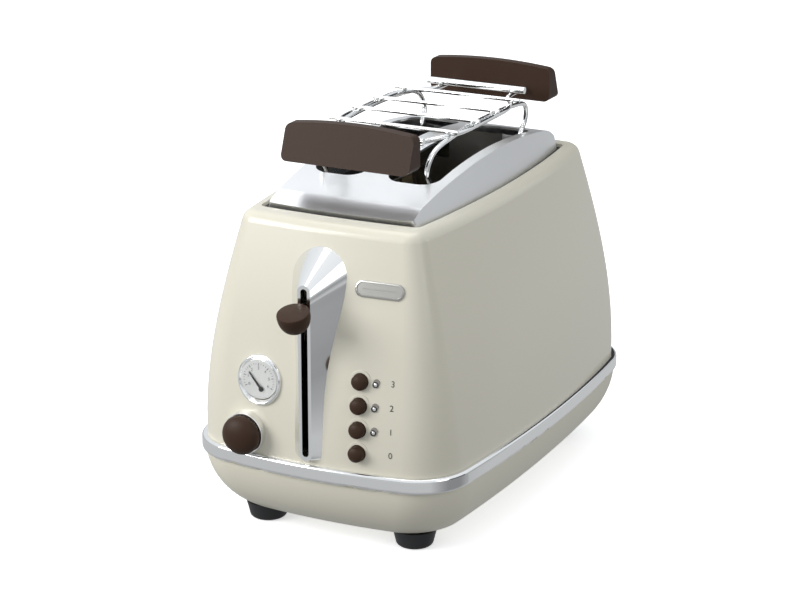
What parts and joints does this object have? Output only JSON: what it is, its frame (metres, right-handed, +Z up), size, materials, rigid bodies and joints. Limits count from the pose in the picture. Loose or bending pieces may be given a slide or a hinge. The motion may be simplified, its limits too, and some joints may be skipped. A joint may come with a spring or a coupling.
{
  "type": "toaster",
  "caption": "Cream two-slice toaster with chromed cover and band, lever in a swept bezel, gauge, browning knob, buttons, crumb tray and lift-off warming rack.",
  "frame": {"origin": "on the resting plane, under the middle of the whole toaster's bounding box", "axes": "+Z up, lever end faces -Y, +X to the right of someone who faces the lever end"},
  "size_m": [0.1872, 0.3196, 0.2468],
  "materials": {
    "cream_enamel": "warm cream gloss enamel",
    "cream_plastic": "cream moulding, matched to the enamel",
    "chrome_trim": "bright chrome",
    "steel": "plain bright steel",
    "brown_plastic": "satin chocolate brown moulding",
    "black_plastic": "matt black moulding",
    "rubber": "matt black rubber",
    "mica": "pale mica sheet",
    "ribbon": "resistance ribbon",
    "dial_white": "white printed dial",
    "clear": "clear window",
    "needle": "black enamelled needle",
    "lamp": "translucent light pipe",
    "board": "green circuit board with black switches",
    "badge": "satin chrome",
    "zinc": "zinc plated steel"
  },
  "bodies": {
    "housing": {"body_shell": "cream_enamel", "lower_housing": "cream_plastic", "trim_band": "chrome_trim", "rubber_feet": "rubber", "top_cover": "chrome_trim", "cover_seat": "black_plastic", "front_plate": "steel", "rear_plate": "steel", "side_liners": "steel", "heater_boards": "mica", "heater_ribbons": "ribbon", "guide_pin": "steel", "pin_bracket": "steel", "holding_magnet": "black_plastic", "return_spring": "steel", "lever_bezel": "chrome_trim", "circuit_board": "board", "indicator_lamps": "lamp", "gauge_bezel": "chrome_trim", "gauge_dial": "dial_white", "gauge_glass": "clear", "knob_collar": "chrome_trim", "potentiometer": "black_plastic", "badge": "badge", "cord_gland": "black_plastic", "base_screws": "zinc"},
    "carriage": {"lever_carriage": "steel", "bread_lifter_left": "steel", "bread_lifter_right": "steel", "lever_knob": "brown_plastic"},
    "left_outer_guide": {"guide_left_outer": "steel"},
    "left_inner_guide": {"guide_left_inner": "steel"},
    "right_inner_guide": {"guide_right_inner": "steel"},
    "right_outer_guide": {"guide_right_outer": "steel"},
    "browning_control": {"browning_knob": "brown_plastic"},
    "needle": {"gauge_needle": "needle"},
    "bottom_button": {"button_bottom": "brown_plastic"},
    "lower_button": {"button_lower": "brown_plastic"},
    "upper_button": {"button_upper": "brown_plastic"},
    "top_button": {"button_top": "brown_plastic"},
    "tray": {"crumb_tray": "steel"},
    "rack": {"rack_rails": "chrome_trim", "rack_legs": "chrome_trim", "rack_cross_wires": "chrome_trim", "rack_end_rods": "chrome_trim", "rack_handle_front": "brown_plastic", "rack_handle_rear": "brown_plastic"}
  },
  "joints": [
    {"name": "lever_slide", "type": "slide", "parent": "housing", "child": "carriage", "axis": [0, 0, -1], "range_m": [0, 0.082], "stiffness_N_per_m": 30, "springref_m": -0.1, "deforming": ["return_spring"]},
    {"name": "left_outer_guide_slide", "type": "slide", "parent": "housing", "child": "left_outer_guide", "axis": [1, 0, 0], "range_m": [0, 0.005]},
    {"name": "left_inner_guide_slide", "type": "slide", "parent": "housing", "child": "left_inner_guide", "axis": [-1, 0, 0], "range_m": [0, 0.005]},
    {"name": "right_inner_guide_slide", "type": "slide", "parent": "housing", "child": "right_inner_guide", "axis": [1, 0, 0], "range_m": [0, 0.005]},
    {"name": "right_outer_guide_slide", "type": "slide", "parent": "housing", "child": "right_outer_guide", "axis": [-1, 0, 0], "range_m": [0, 0.005]},
    {"name": "browning_turn", "type": "hinge", "parent": "housing", "child": "browning_control", "pos_m": [-0.0418, -0.12945, 0.0688], "axis": [0, -1, 0], "range_deg": [-158, 42]},
    {"name": "needle_turn", "type": "hinge", "parent": "housing", "child": "needle", "pos_m": [-0.0326, -0.12645, 0.096], "axis": [0, -1, 0], "range_deg": [-79, 21]},
    {"name": "bottom_button_press", "type": "slide", "parent": "housing", "child": "bottom_button", "axis": [0, 1, 0], "range_m": [0, 0.0025], "stiffness_N_per_m": 400},
    {"name": "lower_button_press", "type": "slide", "parent": "housing", "child": "lower_button", "axis": [0, 1, 0], "range_m": [0, 0.0025], "stiffness_N_per_m": 400},
    {"name": "upper_button_press", "type": "slide", "parent": "housing", "child": "upper_button", "axis": [0, 1, 0], "range_m": [0, 0.0025], "stiffness_N_per_m": 400},
    {"name": "top_button_press", "type": "slide", "parent": "housing", "child": "top_button", "axis": [0, 1, 0], "range_m": [0, 0.0025], "stiffness_N_per_m": 400},
    {"name": "tray_slide", "type": "slide", "parent": "housing", "child": "tray", "axis": [0, 1, 0], "range_m": [0, 0.18]},
    {"name": "rack_lift", "type": "slide", "parent": "housing", "child": "rack", "axis": [0, 0, 1], "range_m": [0, 0.12]}
  ],
  "couplings": [
    {"joint": "left_outer_guide_slide", "follows": "lever_slide", "ratio": 0.060975},
    {"joint": "left_inner_guide_slide", "follows": "lever_slide", "ratio": 0.060975},
    {"joint": "right_inner_guide_slide", "follows": "lever_slide", "ratio": 0.060975},
    {"joint": "right_outer_guide_slide", "follows": "lever_slide", "ratio": 0.060975},
    {"joint": "needle_turn", "follows": "browning_turn", "ratio": 0.5}
  ]
}
